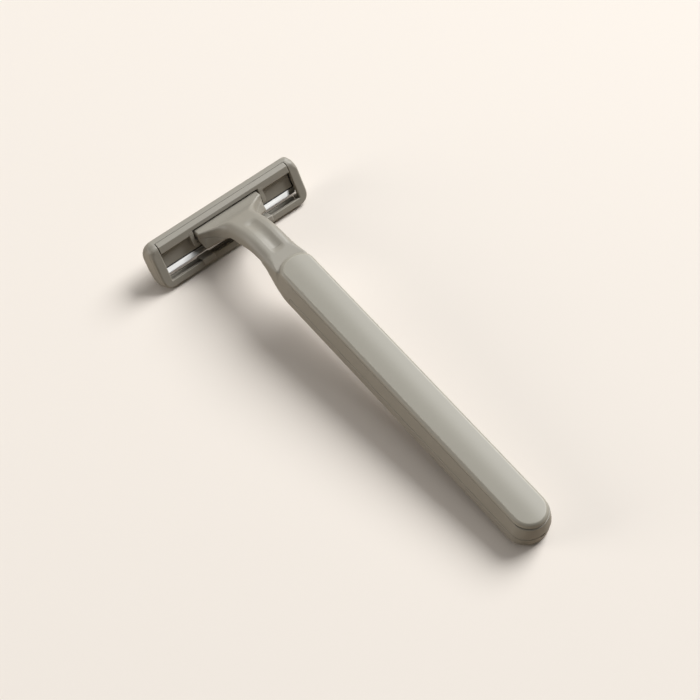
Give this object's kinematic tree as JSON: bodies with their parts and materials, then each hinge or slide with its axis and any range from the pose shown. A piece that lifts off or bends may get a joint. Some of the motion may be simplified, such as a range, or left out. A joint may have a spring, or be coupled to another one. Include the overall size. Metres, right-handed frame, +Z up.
{
  "type": "disposable razor",
  "caption": "Slim disposable safety razor with a sprung pivoting head, raised thumb pad and curved neck, lying blades down.",
  "frame": {"origin": "middle of the bounding box, on the surface that the razor lies on", "axes": "+Y from the butt of the handle to the head, +X along the blades, +Z up"},
  "size_m": [0.0418, 0.1064, 0.0149],
  "materials": {
    "matt_plastic": "moulded warm grey plastic with a fine matt texture",
    "soft_plastic": "slightly softer moulded plastic in the same grey",
    "blade_steel": "bright rolled strip steel with ground edges",
    "spring_steel": "satin spring strip",
    "strip_polymer": "waxy pale water-soluble polymer"
  },
  "bodies": {
    "handle": {"handle_shell": "matt_plastic", "back_cover": "matt_plastic", "grip_pad": "soft_plastic", "return_leaf": "spring_steel"},
    "head": {"head_frame": "matt_plastic", "blade_carrier": "matt_plastic", "guard_strip": "soft_plastic", "lower_blade": "blade_steel", "blade_spacer": "matt_plastic", "upper_blade": "blade_steel", "blade_cap": "matt_plastic", "lubricating_strip": "strip_polymer"}
  },
  "joints": [
    {"name": "head_pivot", "type": "hinge", "parent": "handle", "child": "head", "pos_m": [0, 0.04857, 0.00611], "axis": [1, 0, 0], "range_deg": [0, 25], "stiffness_Nm_per_rad": 0.02, "deforming": ["return_leaf"]}
  ]
}
